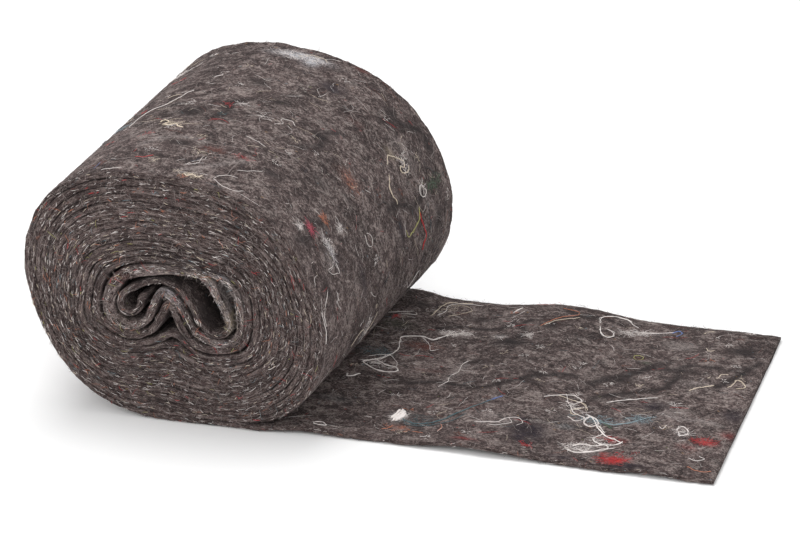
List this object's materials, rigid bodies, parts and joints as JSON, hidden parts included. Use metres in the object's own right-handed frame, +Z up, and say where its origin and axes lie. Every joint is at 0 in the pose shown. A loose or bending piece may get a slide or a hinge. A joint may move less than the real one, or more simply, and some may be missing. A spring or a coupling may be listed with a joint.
{
  "type": "roll of felt",
  "caption": "Strip of thick recycled felt wound on itself with no tube inside, sagged to an oval, with its last turn lying out flat beside the roll.",
  "frame": {"origin": "on the surface that the roll rests on, straight below the centre of the roll's section and midway between its two faces", "axes": "+Z up, +Y along the roll's axis from its front face to its rear face, +X the way the loose end lies"},
  "size_m": [0.3402, 0.2, 0.133],
  "materials": {
    "felt": "matt, fibrous, dark brown-grey with mixed fibre colours"
  },
  "bodies": {
    "root": {"wound_roll": "felt", "loose_end": "felt"}
  },
  "joints": []
}
